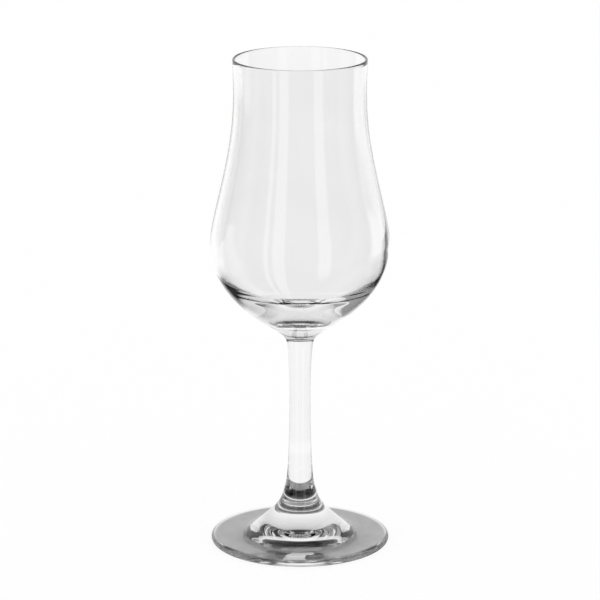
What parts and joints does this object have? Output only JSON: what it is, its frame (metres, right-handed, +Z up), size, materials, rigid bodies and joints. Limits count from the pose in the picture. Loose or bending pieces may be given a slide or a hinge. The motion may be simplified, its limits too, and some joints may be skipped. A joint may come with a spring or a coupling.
{
  "type": "spirits tasting glass",
  "caption": "Clear stemmed tasting glass for spirits: a waisted tulip bowl with a thick base, a slim drawn stem and a flat disc foot.",
  "frame": {"origin": "centre of the foot on the surface that the glass stands on", "axes": "+Z up along the glass's axis from the foot to the rim; the glass is round, so X and Y are free"},
  "size_m": [0.06, 0.06, 0.165],
  "materials": {
    "glass": "clear, fire-polished"
  },
  "bodies": {
    "root": {"tasting_glass": "glass"}
  },
  "joints": []
}
